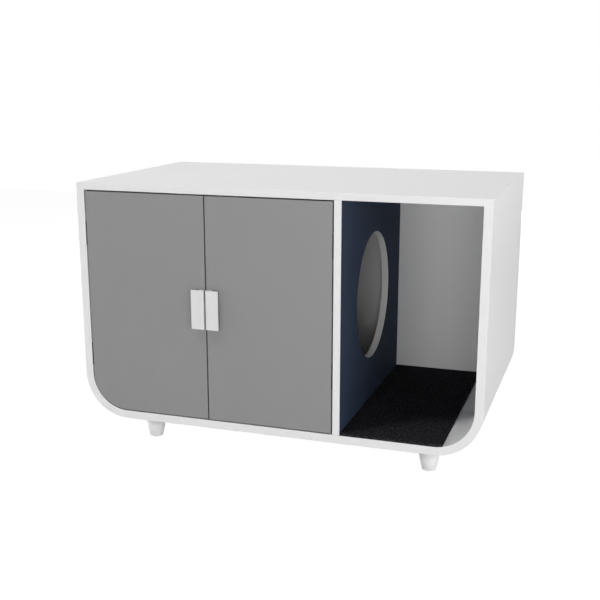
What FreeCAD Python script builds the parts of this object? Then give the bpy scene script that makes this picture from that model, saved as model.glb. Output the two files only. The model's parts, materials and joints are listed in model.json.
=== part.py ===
import FreeCAD, Part
import math
import os
from FreeCAD import Vector

# A cat litter box cabinet. On the left is a bay with two inset doors, which holds the litter box. On
# the right is an open bay with a mat, and a round hole in the divider leads from one to the other.
# Millimetres. +X to the right, +Y to the back, +Z up. The origin is on the floor, in the middle of
# the outline, pulls included.

# ---- Driving dimensions ----

# carcass
body_width = 900.0
body_depth = 530.0
body_height = 530.0
top_thickness = 15.0
shell_thickness = 18.0  # moulded sides and bottom board
corner_radius = 100.0  # outside of the two lower corners
flange_length = 80.0  # flat end of a moulded side, from its corner to the bottom board
divider_thickness = 16.0
door_bay_width = 567.0  # clear width between the left side and the divider
back_thickness = 4.0
rabbet_width = 8.0  # how far the back board laps on to the boards around it
back_play = 0.5  # between the back board's rim and its rabbet

# loose tongues, glued into both boards of a joint
tongue_thickness = 4.0
tongue_depth = 8.0  # in each board
tongue_setback = 40.0  # from the front and the back, so that no end shows

# way through the divider, and the open bay's lining and mat
cat_hole_radius = 146.0
cat_hole_setback = 270.0  # centre, from the front
cat_hole_lift = 248.0  # centre, above the bottom board
lining_thickness = 1.0
mat_thickness = 6.5
mat_climb = 18.0  # how far the mat runs on to the rounded corner
mat_play = 0.5  # to the lining, the back and the front edge

# doors
door_thickness = 18.0
door_gap = 3.0  # all round a door, and between the two

# pulls, folded from sheet
pull_sheet = 2.0
pull_height = 86.0
pull_width = 29.0
pull_projection = 9.0
pull_base_width = 13.0
pull_parting = 4.2  # between the two pulls
pull_centre_lift = 269.0  # above the underside of the body
pull_bend = 1.4  # radius of a fold, at mid sheet
pull_screw_spread = 56.0

# legs
leg_height = 72.0  # floor to body
leg_top_radius = 30.0
leg_foot_radius = 15.0
leg_foot_bevel = 2.5
leg_sides = 48
leg_from_corner = 24.0  # leg's axis, past the end of the rounded corner
leg_setback = 95.0  # leg's axis, from the front or the back
leg_bolt_radius = 4.0
leg_bolt_in_leg = 30.0
leg_bolt_in_board = 12.0
insert_radius = 6.0
insert_length = 13.0
glide_radius = 9.0
glide_thickness = 4.0
glide_standoff = 1.0  # how far a glide stands out of its leg
thread_play = 0.05

# butt hinges, rolled so slim that they stand in the gap beside a door
knuckle_radius = 1.2
hinge_pin_radius = 0.6
pin_running_play = 0.05
knuckle_play = 0.3  # between one knuckle and the next
leaf_thickness = 0.55
leaf_depth = 13.0  # from the front of the knuckles
hinge_height = 50.0
hinge_screw_spread = 30.0
hinge_screw_setback = 8.2  # row of screws, from the front of the knuckles
hinge_from_corner = 45.0  # lower hinge, above the top of the rounded corner
hinge_from_top = 95.0  # upper hinge, below the top board

# magnetic catches, under the top board
catch_from_parting = 45.0  # middle of a catch, from the parting of the doors
catch_width = 30.0
catch_height = 15.0
catch_depth = 16.0
catch_ear_length = 10.0
catch_ear_thickness = 3.0
catch_air = 0.3  # between a closed door's strike plate and the catch
magnet_width = 22.0
magnet_height = 6.0
magnet_depth = 10.0
magnet_drop = 9.5  # middle of the magnet, below the top board
strike_width = 26.0
strike_height = 12.0
strike_thickness = 1.5

# screws and staples
small_sides = 8  # sides of a bolt, a screw, an insert or a glide
screw_radius = 1.75
screw_head_radius = 3.5
screw_head_height = 2.0
hinge_screw_length = 13.0
catch_screw_length = 13.0
strike_screw_length = 10.0
machine_screw_radius = 2.0
machine_head_radius = 4.0
machine_head_height = 2.2
staple_crown = 10.0
staple_wire = 1.0
staple_leg_length = 13.0
staple_end_margin = 90.0  # first and last staple of a row, from the body's edge
staples_per_row = 3
staple_rim = 4.0  # a staple's distance from the back board's rim

# ---- Planes that the pieces share ----

left = -body_width / 2
right = body_width / 2
front = -(body_depth - pull_projection) / 2
back = front + body_depth
underside = leg_height
top = underside + body_height
ceiling = top - top_thickness
floor = underside + shell_thickness
inner_left = left + shell_thickness
inner_right = right - shell_thickness
inner_radius = corner_radius - shell_thickness
back_board_front = back - back_thickness
flange_end = left + corner_radius + flange_length
divider_left = inner_left + door_bay_width
divider_right = divider_left + divider_thickness
lining_right = divider_right + lining_thickness
door_parting = (inner_left + divider_left) / 2
door_back = front + door_thickness
door_left_edge = inner_left + door_gap
door_bottom = floor + door_gap
door_top = ceiling - door_gap
pin_x = inner_left + door_gap / 2
pin_y = front + knuckle_radius
lower_hinge_z = floor + inner_radius + hinge_from_corner
upper_hinge_z = ceiling - hinge_from_top
pull_centre_z = underside + pull_centre_lift


# ---- Ways of making a solid ----

def box(x_span, y_span, z_span):
    """Block between a low and a high value on each axis."""
    low = Vector(x_span[0], y_span[0], z_span[0])
    size = Vector(x_span[1], y_span[1], z_span[1]) - low
    return Part.makeBox(size.x, size.y, size.z, low)


def bend(before, at, after, radius, offset):
    """Entry, middle and exit of a rounded corner, on a line that runs to the left of the route."""
    into = (at - before).normalize()
    out = (after - at).normalize()
    side = 1 if into.cross(out).z > 0 else -1
    run = radius * math.tan(into.getAngle(out) / 2)
    left_of_into = Vector(-into.y, into.x, 0)
    left_of_out = Vector(-out.y, out.x, 0)
    entry = at - into * run + left_of_into * offset
    leave = at + out * run + left_of_out * offset
    centre = at - into * run + left_of_into * (side * radius)
    middle = centre + (at - centre).normalize() * (radius - side * offset) if radius else at
    return entry, middle, leave


def line(start, end):
    return Part.LineSegment(start, end).toShape()


def outline(corners):
    """Flat face through (x, y, radius) corners, each rounded by its radius."""
    points = [Vector(x, y, 0) for x, y, _ in corners]
    radii = [radius for _, _, radius in corners]
    count = len(corners)
    bends = [
        bend(points[i - 1], points[i], points[(i + 1) % count], radii[i], 0.0)
        for i in range(count)
    ]
    edges = []
    for i, (entry, middle, leave) in enumerate(bends):
        if radii[i]:
            edges.append(Part.Arc(entry, middle, leave).toShape())
        edges.append(line(leave, bends[(i + 1) % count][0]))
    return Part.Face(Part.Wire(edges))


def folded_strip(route, radii, sheet, width):
    """Sheet folded along a flat route of (x, y) points, as wide as its height in z."""
    points = [Vector(x, y, 0) for x, y in route]
    sides = []
    for offset in (sheet / 2, -sheet / 2):
        start = points[0] + bend_offset(points[0], points[1], offset)
        edges = []
        for i, radius in enumerate(radii, start=1):
            entry, middle, leave = bend(points[i - 1], points[i], points[i + 1], radius, offset)
            edges += [line(start, entry), Part.Arc(entry, middle, leave).toShape()]
            start = leave
        end = points[-1] + bend_offset(points[-2], points[-1], offset)
        edges.append(line(start, end))
        sides.append((edges, points[0] + bend_offset(points[0], points[1], offset), end))
    (one, one_start, one_end), (other, other_start, other_end) = sides
    loop = one + [line(one_end, other_end)] + other[::-1] + [line(other_start, one_start)]
    return Part.Face(Part.Wire(loop)).extrude(Vector(0, 0, width))


def bend_offset(start, end, offset):
    """Step to the left of a straight run."""
    along = (end - start).normalize()
    return Vector(-along.y, along.x, 0) * offset


def upright_board(corners, y_span):
    """Board whose (x, z, radius) corners are seen from the front."""
    solid = outline(corners).extrude(Vector(0, 0, y_span[1] - y_span[0]))
    solid.rotate(Vector(0, 0, 0), Vector(1, 0, 0), 90)
    solid.translate(Vector(0, y_span[1], 0))
    return solid


def faceted(rings, sides):
    """Round piece about Z, made many-sided, through (radius, z) rings from one end to the other."""
    steps = [2 * math.pi * i / sides for i in range(sides)]
    loops = [[Vector(radius * math.cos(a), radius * math.sin(a), z) for a in steps] for radius, z in rings]
    faces = [loops[0], loops[-1]]
    for one, other in zip(loops, loops[1:]):
        faces += [[one[i - 1], one[i], other[i], other[i - 1]] for i in range(sides)]
    return Part.Solid(Part.Shell([Part.Face(Part.makePolygon(face + face[:1])) for face in faces]))


def faceted_rod(radius, low, high):
    return faceted([(radius, low), (radius, high)], small_sides)


def pointed(solid, position, direction):
    """A solid made about Z, turned so that its +Z points along a direction, and set in place."""
    solid = solid.copy()
    turn = FreeCAD.Rotation(Vector(0, 0, 1), direction)
    solid.Placement = FreeCAD.Placement(position, turn)
    return solid


def countersunk_screw(length):
    """Wood screw, its flat head at z = 0 and its point below."""
    rings = [(screw_head_radius, 0), (screw_radius, -screw_head_height), (screw_radius, -length)]
    return faceted(rings, small_sides)


def cheese_head_screw(radius, length, head_radius, head_height):
    """Machine screw, the underside of its head at z = 0."""
    return faceted_rod(head_radius, 0, head_height).fuse(faceted_rod(radius, -length, 0))


def round_bottomed(x_span, z_span, y_span, left_radius, right_radius):
    """Board with its two lower corners rounded, seen from the front."""
    corners = [
        (x_span[0], z_span[0], left_radius),
        (x_span[1], z_span[0], right_radius),
        (x_span[1], z_span[1], 0),
        (x_span[0], z_span[1], 0),
    ]
    return upright_board(corners, y_span)


def mirrored(solid, plane_x):
    return solid.mirror(Vector(plane_x, 0, 0), Vector(1, 0, 0))


# ---- Carcass ----

def back_rabbet():
    """Room for the back board in the boards around it."""
    return round_bottomed(
        (inner_left - rabbet_width, inner_right + rabbet_width),
        (floor - rabbet_width, ceiling + rabbet_width),
        (back_board_front, back),
        inner_radius + rabbet_width,
        inner_radius + rabbet_width,
    )


def back_board():
    lap = rabbet_width - back_play
    return round_bottomed(
        (inner_left - lap, inner_right + lap),
        (floor - lap, ceiling + lap),
        (back_board_front, back),
        inner_radius + lap,
        inner_radius + lap,
    )


def shell():
    """Both sides and the bottom as one ring, open at the top, from which the boards are parted."""
    outside = round_bottomed((left, right), (underside, ceiling), (front, back), corner_radius, corner_radius)
    inside = round_bottomed(
        (inner_left, inner_right), (floor, ceiling), (front, back), inner_radius, inner_radius
    )
    return outside.cut([inside, back_rabbet()])


def moulded_side():
    """Left side board, bent round its lower corner and on under the floor."""
    return shell().common(box((left, flange_end), (front, back), (underside, ceiling)))


def bottom_board():
    return shell().common(box((flange_end, -flange_end), (front, back), (underside, floor)))


def top_board():
    return box((left, right), (front, back), (ceiling, top)).cut(back_rabbet())


def divider_sheet(x_span):
    """Sheet across the inside, with the cat hole through it."""
    sheet = box(x_span, (front, back_board_front), (floor, ceiling))
    hole = Part.makeCylinder(
        cat_hole_radius,
        x_span[1] - x_span[0],
        Vector(x_span[0], front + cat_hole_setback, floor + cat_hole_lift),
        Vector(1, 0, 0),
    )
    return sheet.cut(hole)


def floor_mat():
    """Felt mat that lies on the bottom and starts up the rounded corner."""
    corner_centre = Vector(right - corner_radius, 0, floor + inner_radius)
    slope = math.asin(mat_climb / (inner_radius - mat_thickness))

    def on_corner(angle, radius):
        return corner_centre + Vector(math.sin(angle), 0, -math.cos(angle)) * radius

    def corner_arc(start, end, radius):
        points = [on_corner(angle, radius) for angle in (start, (start + end) / 2, end)]
        return Part.Arc(*points).toShape()

    start_x = lining_right + mat_play
    low_start = Vector(start_x, 0, floor)
    high_start = Vector(start_x, 0, floor + mat_thickness)
    top_radius = inner_radius - mat_thickness
    edges = [
        line(low_start, on_corner(0, inner_radius)),
        corner_arc(0, slope, inner_radius),
        line(on_corner(slope, inner_radius), on_corner(slope, top_radius)),
        corner_arc(slope, 0, top_radius),
        line(on_corner(0, top_radius), high_start),
        line(high_start, low_start),
    ]
    mat = Part.Face(Part.Wire(edges)).extrude(Vector(0, back_board_front - front - 2 * mat_play, 0))
    mat.translate(Vector(0, front + mat_play, 0))
    return mat


def tongues():
    """Loose tongues by name: upright ones at the top and under the divider, flat ones in the bottom."""
    run = (front + tongue_setback, back - tongue_setback)
    half = tongue_thickness / 2

    def upright(middle_x, joint_z):
        return box((middle_x - half, middle_x + half), run, (joint_z - tongue_depth, joint_z + tongue_depth))

    def flat(joint_x, middle_z):
        return box((joint_x - tongue_depth, joint_x + tongue_depth), run, (middle_z - half, middle_z + half))

    side_middle = left + shell_thickness / 2
    divider_middle = (divider_left + divider_right) / 2
    bottom_middle = underside + shell_thickness / 2
    return {
        "top_left_tongue": upright(side_middle, ceiling),
        "top_right_tongue": upright(-side_middle, ceiling),
        "divider_top_tongue": upright(divider_middle, ceiling),
        "divider_bottom_tongue": upright(divider_middle, floor),
        "bottom_left_tongue": flat(flange_end, bottom_middle),
        "bottom_right_tongue": flat(-flange_end, bottom_middle),
    }


def staples():
    """Staples round the rim of the back board: crowns on the board, legs driven forwards."""
    reach = rabbet_width - back_play - staple_rim
    rim_left = inner_left - reach
    rim_bottom = floor - reach
    rim_top = ceiling + reach
    side_rows = spread(underside + staple_end_margin + corner_radius, top - staple_end_margin)
    flat_rows = spread(left + staple_end_margin + corner_radius, right - staple_end_margin - corner_radius)
    places = [(x, z, 90) for z in side_rows for x in (rim_left, -rim_left)]
    places += [(x, z, 0) for x in flat_rows for z in (rim_bottom, rim_top)]
    return Part.makeCompound([staple(x, z, turn) for x, z, turn in places])


def spread(first, last):
    """Even places from first to last, one for each staple of a row."""
    step = (last - first) / (staples_per_row - 1)
    return [first + i * step for i in range(staples_per_row)]


def staple(x, z, turn):
    half = staple_crown / 2
    wire = staple_wire / 2
    crown = box((-half, half), (-staple_wire, 0), (-wire, wire))
    legs = [
        box(span, (-staple_leg_length, 0), (-wire, wire))
        for span in ((-half, -half + staple_wire), (half - staple_wire, half))
    ]
    solid = crown.fuse(legs).removeSplitter()
    solid.rotate(Vector(0, 0, 0), Vector(0, 1, 0), turn)
    solid.translate(Vector(x, back, z))
    return solid


# ---- Legs ----

leg_places = {
    "front_left": (left + corner_radius + leg_from_corner, front + leg_setback),
    "front_right": (right - corner_radius - leg_from_corner, front + leg_setback),
    "rear_left": (left + corner_radius + leg_from_corner, back - leg_setback),
    "rear_right": (right - corner_radius - leg_from_corner, back - leg_setback),
}


def at_legs(solid):
    """The same solid at all four legs."""
    return Part.makeCompound([solid.translated(Vector(x, y, 0)) for x, y in leg_places.values()])


def leg():
    """Tapered leg with a bevelled foot, hollowed for its glide below and its bolt above."""
    rings = [
        (leg_foot_radius - leg_foot_bevel, glide_standoff),
        (leg_foot_radius, glide_standoff + leg_foot_bevel),
        (leg_top_radius, leg_height),
    ]
    return faceted(rings, leg_sides).cut([foot_glide(), leg_bolt()])


def leg_bolt():
    return faceted_rod(leg_bolt_radius, leg_height - leg_bolt_in_leg, leg_height + leg_bolt_in_board)


def insert_bore():
    return faceted_rod(insert_radius, underside, underside + insert_length)


def threaded_insert():
    return insert_bore().cut(faceted_rod(leg_bolt_radius + thread_play, underside, underside + insert_length))


def foot_glide():
    return faceted_rod(glide_radius, 0, glide_thickness)


# ---- Hinge of the left door, closed, with its pin at x = y = 0 ----

half_hinge = hinge_height / 2
knuckle_length = (hinge_height - 2 * knuckle_play) / 3
leaf_face = leaf_thickness - door_gap / 2


def hinge_pin():
    return Part.makeCylinder(hinge_pin_radius, hinge_height, Vector(0, 0, -half_hinge))


def hinge_leaf(knuckle_starts, bore_radius):
    """Leaf on the side board: a plate, with a neck that runs forward to each of its knuckles."""
    x_span = (-door_gap / 2, leaf_face)
    leaf_end = leaf_depth - knuckle_radius
    plate = box(x_span, (knuckle_radius + knuckle_play, leaf_end), (-half_hinge, half_hinge))
    necks = [box(x_span, (0, leaf_end), (low, low + knuckle_length)) for low in knuckle_starts]
    knuckles = [Part.makeCylinder(knuckle_radius, knuckle_length, Vector(0, 0, low)) for low in knuckle_starts]
    bore = Part.makeCylinder(bore_radius, hinge_height, Vector(0, 0, -half_hinge))
    return plate.fuse(necks + knuckles).cut([bore] + side_leaf_screws()).removeSplitter()


def side_leaf():
    """Leaf with the outer knuckles, which hold the pin fast."""
    return hinge_leaf([-half_hinge, half_hinge - knuckle_length], hinge_pin_radius)


def door_leaf():
    """Leaf with the middle knuckle, which turns on the pin."""
    return mirrored(hinge_leaf([-knuckle_length / 2], hinge_pin_radius + pin_running_play), 0)


def side_leaf_screws():
    screw = countersunk_screw(hinge_screw_length)
    row = hinge_screw_setback - knuckle_radius
    return [
        pointed(screw, Vector(leaf_face, row, z), Vector(1, 0, 0))
        for z in (-hinge_screw_spread / 2, hinge_screw_spread / 2)
    ]


def door_leaf_screws():
    return [mirrored(screw, 0) for screw in side_leaf_screws()]


def at_hinge(solids, height):
    """Hinge solids, moved from the pin's origin to a hinge of the left door."""
    return [solid.translated(Vector(pin_x, pin_y, height)) for solid in solids]


def at_both_hinges(solids):
    return at_hinge(solids, lower_hinge_z) + at_hinge(solids, upper_hinge_z)


# ---- Doors, pulls and catches of the left door ----

def door_pull():
    """Folded pull: base on the door, web at the parting, front plate open to the outer side."""
    edge = door_parting - pull_parting / 2
    half_sheet = pull_sheet / 2
    web = edge - half_sheet
    base = front - half_sheet
    plate = front - pull_projection + half_sheet
    route = [(edge - pull_base_width, base), (web, base), (web, plate), (edge - pull_width, plate)]
    solid = folded_strip(route, [pull_bend, pull_bend], pull_sheet, pull_height)
    solid.translate(Vector(0, 0, pull_centre_z - pull_height / 2))
    return solid.cut(pull_screws())


def pull_screws():
    """Machine screws from behind the door into the pull's base."""
    screw = cheese_head_screw(
        machine_screw_radius, door_thickness + pull_sheet, machine_head_radius, machine_head_height
    )
    middle_x = door_parting - pull_parting / 2 - (pull_base_width + pull_sheet) / 2
    return [
        pointed(screw, Vector(middle_x, door_back, pull_centre_z + z), Vector(0, 1, 0))
        for z in (-pull_screw_spread / 2, pull_screw_spread / 2)
    ]


def door(left_radius):
    """Door of the left half of the bay, bored for its pull."""
    board = round_bottomed(
        (door_left_edge, door_parting - door_gap / 2),
        (door_bottom, door_top),
        (front, door_back),
        left_radius,
        0,
    )
    return board.cut(pull_screws())


catch_x = door_parting - catch_from_parting
strike_level = door_back + strike_thickness
catch_front = strike_level + catch_air
magnet_z = ceiling - magnet_drop


def catch_magnet():
    half = magnet_width / 2
    return box(
        (catch_x - half, catch_x + half),
        (catch_front, catch_front + magnet_depth),
        (magnet_z - magnet_height / 2, magnet_z + magnet_height / 2),
    )


def catch_housing():
    """Housing under the top board, with an ear for a screw at each end."""
    half = catch_width / 2
    depth = (catch_front, catch_front + catch_depth)
    ear_end = half + catch_ear_length
    block = box((catch_x - half, catch_x + half), depth, (ceiling - catch_height, ceiling))
    ears = box((catch_x - ear_end, catch_x + ear_end), depth, (ceiling - catch_ear_thickness, ceiling))
    return block.fuse(ears).cut([catch_magnet()] + catch_screws()).removeSplitter()


def catch_screws():
    screw = countersunk_screw(catch_screw_length)
    reach = (catch_width + catch_ear_length) / 2
    return [
        pointed(screw, Vector(x, catch_front + catch_depth / 2, ceiling - catch_ear_thickness), Vector(0, 0, -1))
        for x in (catch_x - reach, catch_x + reach)
    ]


def strike_plate():
    half_width = strike_width / 2
    half_height = strike_height / 2
    plate = box(
        (catch_x - half_width, catch_x + half_width),
        (door_back, strike_level),
        (magnet_z - half_height, magnet_z + half_height),
    )
    return plate.cut(strike_screw())


def strike_screw():
    return pointed(
        countersunk_screw(strike_screw_length), Vector(catch_x, strike_level, magnet_z), Vector(0, 1, 0)
    )


# ---- All pieces by name ----

def carcass_pieces():
    tongue = tongues()
    grooves = list(tongue.values())
    insert_bores = at_legs(insert_bore())
    side = moulded_side()
    divider = divider_sheet((divider_left, divider_right))
    return tongue | {
        "top_panel": top_board().cut(grooves),
        "left_side_panel": side.cut(grooves + [insert_bores]),
        "right_side_panel": mirrored(side, 0).cut(grooves + [insert_bores]),
        "bottom_panel": bottom_board().cut(grooves),
        "divider_panel": divider.cut(grooves),
        "divider_lining": divider_sheet((divider_right, lining_right)),
        "back_panel": back_board(),
        "back_panel_staples": staples(),
        "floor_mat": floor_mat(),
    }


def leg_pieces():
    pieces = {f"{place}_leg": leg().translated(Vector(x, y, 0)) for place, (x, y) in leg_places.items()}
    pieces["leg_bolts"] = at_legs(leg_bolt())
    pieces["leg_inserts"] = at_legs(threaded_insert())
    pieces["foot_glides"] = at_legs(foot_glide())
    return pieces


def door_side_pieces():
    """What belongs to the left door, by names that still lack the side they are on."""
    pieces = {
        "handle": door_pull(),
        "handle_screws": Part.makeCompound(pull_screws()),
        "hinge_screws": Part.makeCompound(at_both_hinges(door_leaf_screws())),
        "catch_housing": catch_housing(),
        "catch_magnet": catch_magnet(),
        "strike_plate": strike_plate(),
        "strike_screw": strike_screw(),
    }
    makers = {"hinge_side_leaf": side_leaf, "hinge_door_leaf": door_leaf, "hinge_pin": hinge_pin}
    for level, height in (("lower", lower_hinge_z), ("upper", upper_hinge_z)):
        for name, make in makers.items():
            pieces[f"{level}_{name}"] = at_hinge([make()], height)[0]
    return pieces


def door_pieces():
    """Both doors with what they carry: the right-hand set is the left-hand one in a mirror."""
    pieces = {
        "left_door": door(inner_radius - door_gap),
        "right_door": mirrored(door(0), door_parting),
    }
    for name, solid in door_side_pieces().items():
        pieces[f"left_{name}"] = solid
        pieces[f"right_{name}"] = mirrored(solid, door_parting)
    screws = {
        "hinge_side_screws": at_both_hinges(side_leaf_screws()),
        "catch_screws": catch_screws(),
    }
    for name, solids in screws.items():
        pieces[name] = Part.makeCompound(solids + [mirrored(solid, door_parting) for solid in solids])
    return pieces


os.makedirs("parts", exist_ok=True)
for node, shape in (carcass_pieces() | leg_pieces() | door_pieces()).items():
    shape.exportStep(f"parts/{node}.step")
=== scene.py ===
"""The looks of the cat litter box cabinet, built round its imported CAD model. Metres, in the row's frame."""
import json
import logging
import math
from collections.abc import Callable, Iterable, Iterator
from contextlib import contextmanager
from dataclasses import dataclass
from enum import Enum
from typing import Any

import bmesh
import bpy
from mathutils import Matrix, Vector


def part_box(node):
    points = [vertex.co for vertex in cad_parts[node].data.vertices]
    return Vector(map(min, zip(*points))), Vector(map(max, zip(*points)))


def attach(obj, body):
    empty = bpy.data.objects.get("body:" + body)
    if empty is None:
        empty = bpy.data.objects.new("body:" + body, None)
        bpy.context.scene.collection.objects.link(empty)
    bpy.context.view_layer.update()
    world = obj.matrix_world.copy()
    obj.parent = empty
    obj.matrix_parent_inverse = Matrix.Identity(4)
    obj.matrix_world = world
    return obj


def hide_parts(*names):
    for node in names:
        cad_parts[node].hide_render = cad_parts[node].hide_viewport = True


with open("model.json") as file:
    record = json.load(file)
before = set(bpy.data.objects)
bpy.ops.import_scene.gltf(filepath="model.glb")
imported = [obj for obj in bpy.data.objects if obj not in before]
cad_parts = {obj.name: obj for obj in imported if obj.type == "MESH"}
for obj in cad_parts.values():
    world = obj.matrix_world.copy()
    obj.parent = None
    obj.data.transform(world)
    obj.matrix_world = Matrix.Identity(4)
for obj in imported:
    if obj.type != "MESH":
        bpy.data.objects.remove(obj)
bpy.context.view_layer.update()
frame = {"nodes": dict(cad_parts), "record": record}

log = logging.getLogger("cabinet")

Color = tuple[float, float, float]
Point = tuple[float, float, float]
Step = Callable[[], Any]

FACING = 0.9  # cosine from which a face counts as looking along an axis
LEG_PLACES = ("front_left", "front_right", "rear_left", "rear_right")


class Body(Enum):
    """The CAD bodies that a piece can ride on."""

    CARCASS = "carcass"
    LEFT_DOOR = "left_door_leaf"
    RIGHT_DOOR = "right_door_leaf"


class Side(Enum):
    """Which door a piece belongs to; the value is the way from that door to the parting."""

    LEFT = 1
    RIGHT = -1

    @property
    def word(self) -> str:
        """The word that the CAD nodes of this side begin with."""
        return self.name.lower()

    @property
    def body(self) -> Body:
        """The CAD body of this side's door."""
        return Body.LEFT_DOOR if self is Side.LEFT else Body.RIGHT_DOOR


class Level(Enum):
    """The two hinges of a door, as their CAD nodes are named."""

    LOWER = "lower"
    UPPER = "upper"


class Leaf(Enum):
    """The two leaves of a butt hinge, as their CAD nodes end."""

    SIDE = "side_leaf"
    DOOR = "door_leaf"


class Axis(Enum):
    """The axes of the frame."""

    X = "x"
    Y = "y"
    Z = "z"


class Element(Enum):
    """What an edit-mode selection is made of."""

    VERTEX = "VERT"
    EDGE = "EDGE"
    FACE = "FACE"


class Volume(Enum):
    """How one piece's volume is combined with another's."""

    CUT = "DIFFERENCE"
    UNITED = "UNION"


class Ray(Enum):
    """Kinds of rays that a shader can tell apart."""

    CAMERA = "Camera"
    GLOSSY = "Glossy"
    TRANSMISSION = "Transmission"


# ---- Shader maths ----


class Value:
    """A number that varies over a surface, with the arithmetic of one."""

    def __init__(self, tree: "Tree", socket: bpy.types.NodeSocket) -> None:
        """Wraps an output socket of a node tree."""
        self.tree = tree
        self.socket = socket

    def _math(self, operation: str, other: "Value | float") -> "Value":
        """Adds a Math node that works on this value and another."""
        node = self.tree.node("ShaderNodeMath", {"operation": operation}, {0: self, 1: other})
        return Value(self.tree, node.outputs[0])

    def __add__(self, other: "Value | float") -> "Value":
        """Sum."""
        return self._math("ADD", other)

    __radd__ = __add__

    def __mul__(self, other: "Value | float") -> "Value":
        """Product."""
        return self._math("MULTIPLY", other)

    __rmul__ = __mul__

    def __gt__(self, other: float) -> "Value":
        """One where this is greater, and zero elsewhere."""
        return self._math("GREATER_THAN", other)

    def spread(self, low: float, high: float) -> "Value":
        """Spreads the range from low to high over 0 to 1, and clamps it."""
        node = self.tree.node("ShaderNodeMapRange", {"clamp": True}, {0: self, 1: low, 2: high})
        return Value(self.tree, node.outputs[0])


class Tree:
    """The nodes of a material or a world."""

    def __init__(self, owner: bpy.types.ID) -> None:
        """Empties a node tree.

        Args:
            owner: The material or world that has it.
        """
        owner.use_nodes = True
        self.nodes = owner.node_tree
        self.nodes.nodes.clear()

    def node(
        self, kind: str, settings: dict[str, Any] | None = None, sockets: dict[int | str, Any] | None = None
    ) -> bpy.types.Node:
        """Adds a node.

        Args:
            kind: The node's type.
            settings: Its own settings, which are set first.
            sockets: Values or links of its inputs, by name or number.

        Returns:
            The new node.
        """
        node = self.nodes.nodes.new(kind)
        for name, value in (settings or {}).items():
            setattr(node, name, value)
        for name, value in (sockets or {}).items():
            self.feed(node.inputs[name], value)
        return node

    def feed(self, socket: bpy.types.NodeSocket, value: Any) -> None:
        """Links an input, or sets it to a constant.

        Args:
            socket: The input.
            value: A value or an output socket of this tree, or the constant.
        """
        if isinstance(value, Value):
            value = value.socket
        if isinstance(value, bpy.types.NodeSocket):
            self.nodes.links.new(value, socket)
        else:
            socket.default_value = value

    def ray(self, kind: Ray) -> Value:
        """One for rays of a kind, and zero for others."""
        return Value(self, self.node("ShaderNodeLightPath").outputs[f"Is {kind.value} Ray"])


class Shader(Tree):
    """A material under construction: its nodes, and the shader that its looks end in."""

    def __init__(self, name: str) -> None:
        """Starts a material with one Principled shader.

        Args:
            name: The material's name.
        """
        self.material = bpy.data.materials.new(name)
        super().__init__(self.material)
        self.surface = self.node("ShaderNodeBsdfPrincipled")
        self.output = self.node("ShaderNodeOutputMaterial", {}, {"Surface": self.surface.outputs["BSDF"]})
        self.place = self.node("ShaderNodeTexCoord").outputs["Object"]

    def set(self, **sockets: Any) -> None:
        """Feeds inputs of the surface, with underscores in place of blanks in their names."""
        for name, value in sockets.items():
            self.feed(self.surface.inputs[name.replace("_", " ")], value)

    def stretched(self, stretch: Point) -> bpy.types.NodeSocket:
        """The piece's own coordinates, scaled by a factor on each axis."""
        return self.node("ShaderNodeMapping", {}, {"Vector": self.place, "Scale": stretch}).outputs[0]

    def noise(self, scale: float, detail: float = 2.0, stretch: Point = (1, 1, 1)) -> Value:
        """Cloudy noise about 0.5, with so many clouds per metre and finer layers, stretched on each axis."""
        sockets = {"Vector": self.stretched(stretch), "Scale": scale, "Detail": detail}
        return Value(self, self.node("ShaderNodeTexNoise", {}, sockets).outputs[0])

    def cells(self, scale: float) -> Value:
        """Distance to the nearest of scattered points, with so many of them per metre."""
        sockets = {"Vector": self.stretched((1, 1, 1)), "Scale": scale}
        return Value(self, self.node("ShaderNodeTexVoronoi", {}, sockets).outputs[0])

    def blend(self, one: Color, other: Color, share: Value) -> bpy.types.NodeSocket:
        """A colour that goes from one to the other as the share goes from 0 to 1."""
        sockets = {0: share, 6: (*one, 1.0), 7: (*other, 1.0)}
        return self.node("ShaderNodeMix", {"data_type": "RGBA"}, sockets).outputs[2]

    def relief(self, height: Value, depth: float) -> None:
        """Raises the surface by a height from 0 to 1, to a depth in metres."""
        bump = self.node("ShaderNodeBump", {}, {"Strength": 1.0, "Distance": depth, "Height": height})
        self.set(Normal=bump.outputs[0])


# ---- Finishes ----


@dataclass(frozen=True)
class Finish:
    """What every finish has: the record's slot that it paints, a colour and a roughness."""

    slot: str
    color: Color
    roughness: float

    def material(self) -> bpy.types.Material:
        """Looks the finish's material up, or makes it when it is first asked for.

        Returns:
            The material.
        """
        name = f"{self.slot}_finish"
        made = bpy.data.materials.get(name)
        if made is None:
            shader = Shader(name)
            self.paint(shader)
            made = shader.material
        return made

    def paint(self, shader: Shader) -> None:
        """Builds the looks in a material under construction."""
        raise NotImplementedError

    def tint(self, factor: float) -> Color:
        """The colour, lighter or darker by a factor."""
        return (self.color[0] * factor, self.color[1] * factor, self.color[2] * factor)

    def shades(self, shader: Shader, dark: float, light: float, share: Value) -> bpy.types.NodeSocket:
        """The colour between two factors of it, light where the share is 1."""
        return shader.blend(self.tint(dark), self.tint(light), share)


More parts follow.
